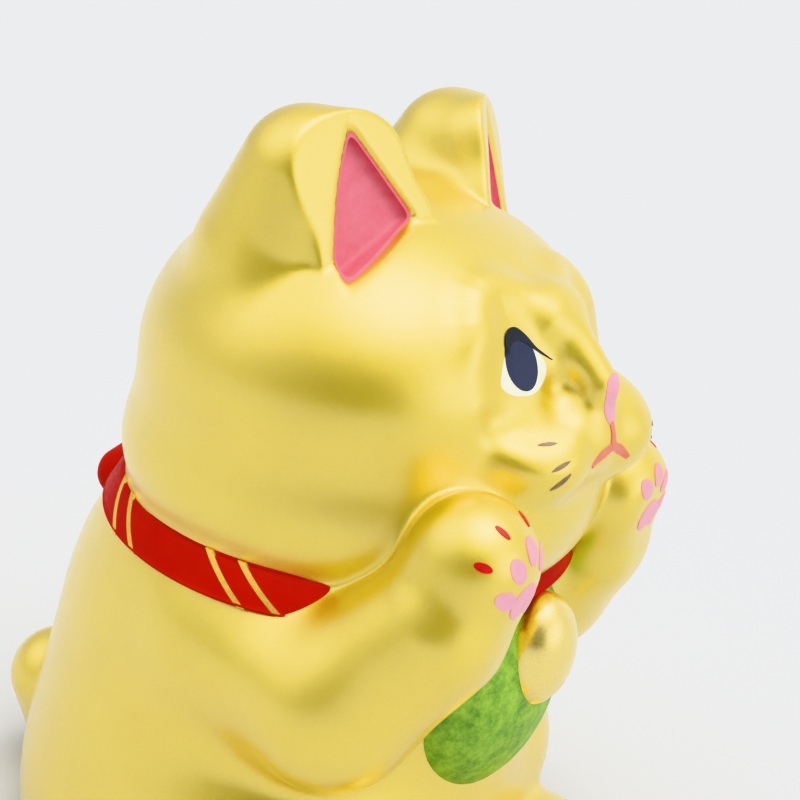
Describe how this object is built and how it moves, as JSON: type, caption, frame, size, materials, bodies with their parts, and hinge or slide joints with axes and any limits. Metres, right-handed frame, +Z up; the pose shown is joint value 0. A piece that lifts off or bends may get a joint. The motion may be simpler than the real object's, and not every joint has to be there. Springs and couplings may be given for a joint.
{
  "type": "beckoning cat figurine",
  "caption": "Seated ceramic cat figurine with both forepaws raised, red collar with bow, bell and green bib, hollow as a coin bank with a rubber base stopper.",
  "frame": {"origin": "under the middle of the figurine's bounding box, on the surface that it stands on", "axes": "+Z up; the cat faces -Y, so its right side is -X and its left side is +X"},
  "size_m": [0.0906, 0.107, 0.1314],
  "materials": {
    "gold_ceramic": "satin metallic gold paint with fine grain over fired clay",
    "gold_bell": "smooth brighter gold paint over fired clay",
    "red_enamel": "satin red paint with thin gold diagonal stripes",
    "green_enamel": "mottled satin green paint",
    "stopper_rubber": "matt moulded rubber"
  },
  "bodies": {
    "figurine": {"head_shell": "gold_ceramic", "body_shell": "gold_ceramic", "right_foreleg": "gold_ceramic", "left_foreleg": "gold_ceramic", "right_hind_foot": "gold_ceramic", "left_hind_foot": "gold_ceramic", "tail": "gold_ceramic", "collar_band": "red_enamel", "collar_bow": "red_enamel", "bib": "green_enamel", "bell": "gold_bell"},
    "stopper": {"base_stopper": "stopper_rubber"}
  },
  "joints": [
    {"name": "stopper_pull", "type": "slide", "parent": "figurine", "child": "stopper", "axis": [0, 0, -1], "range_m": [0, 0.012]}
  ]
}
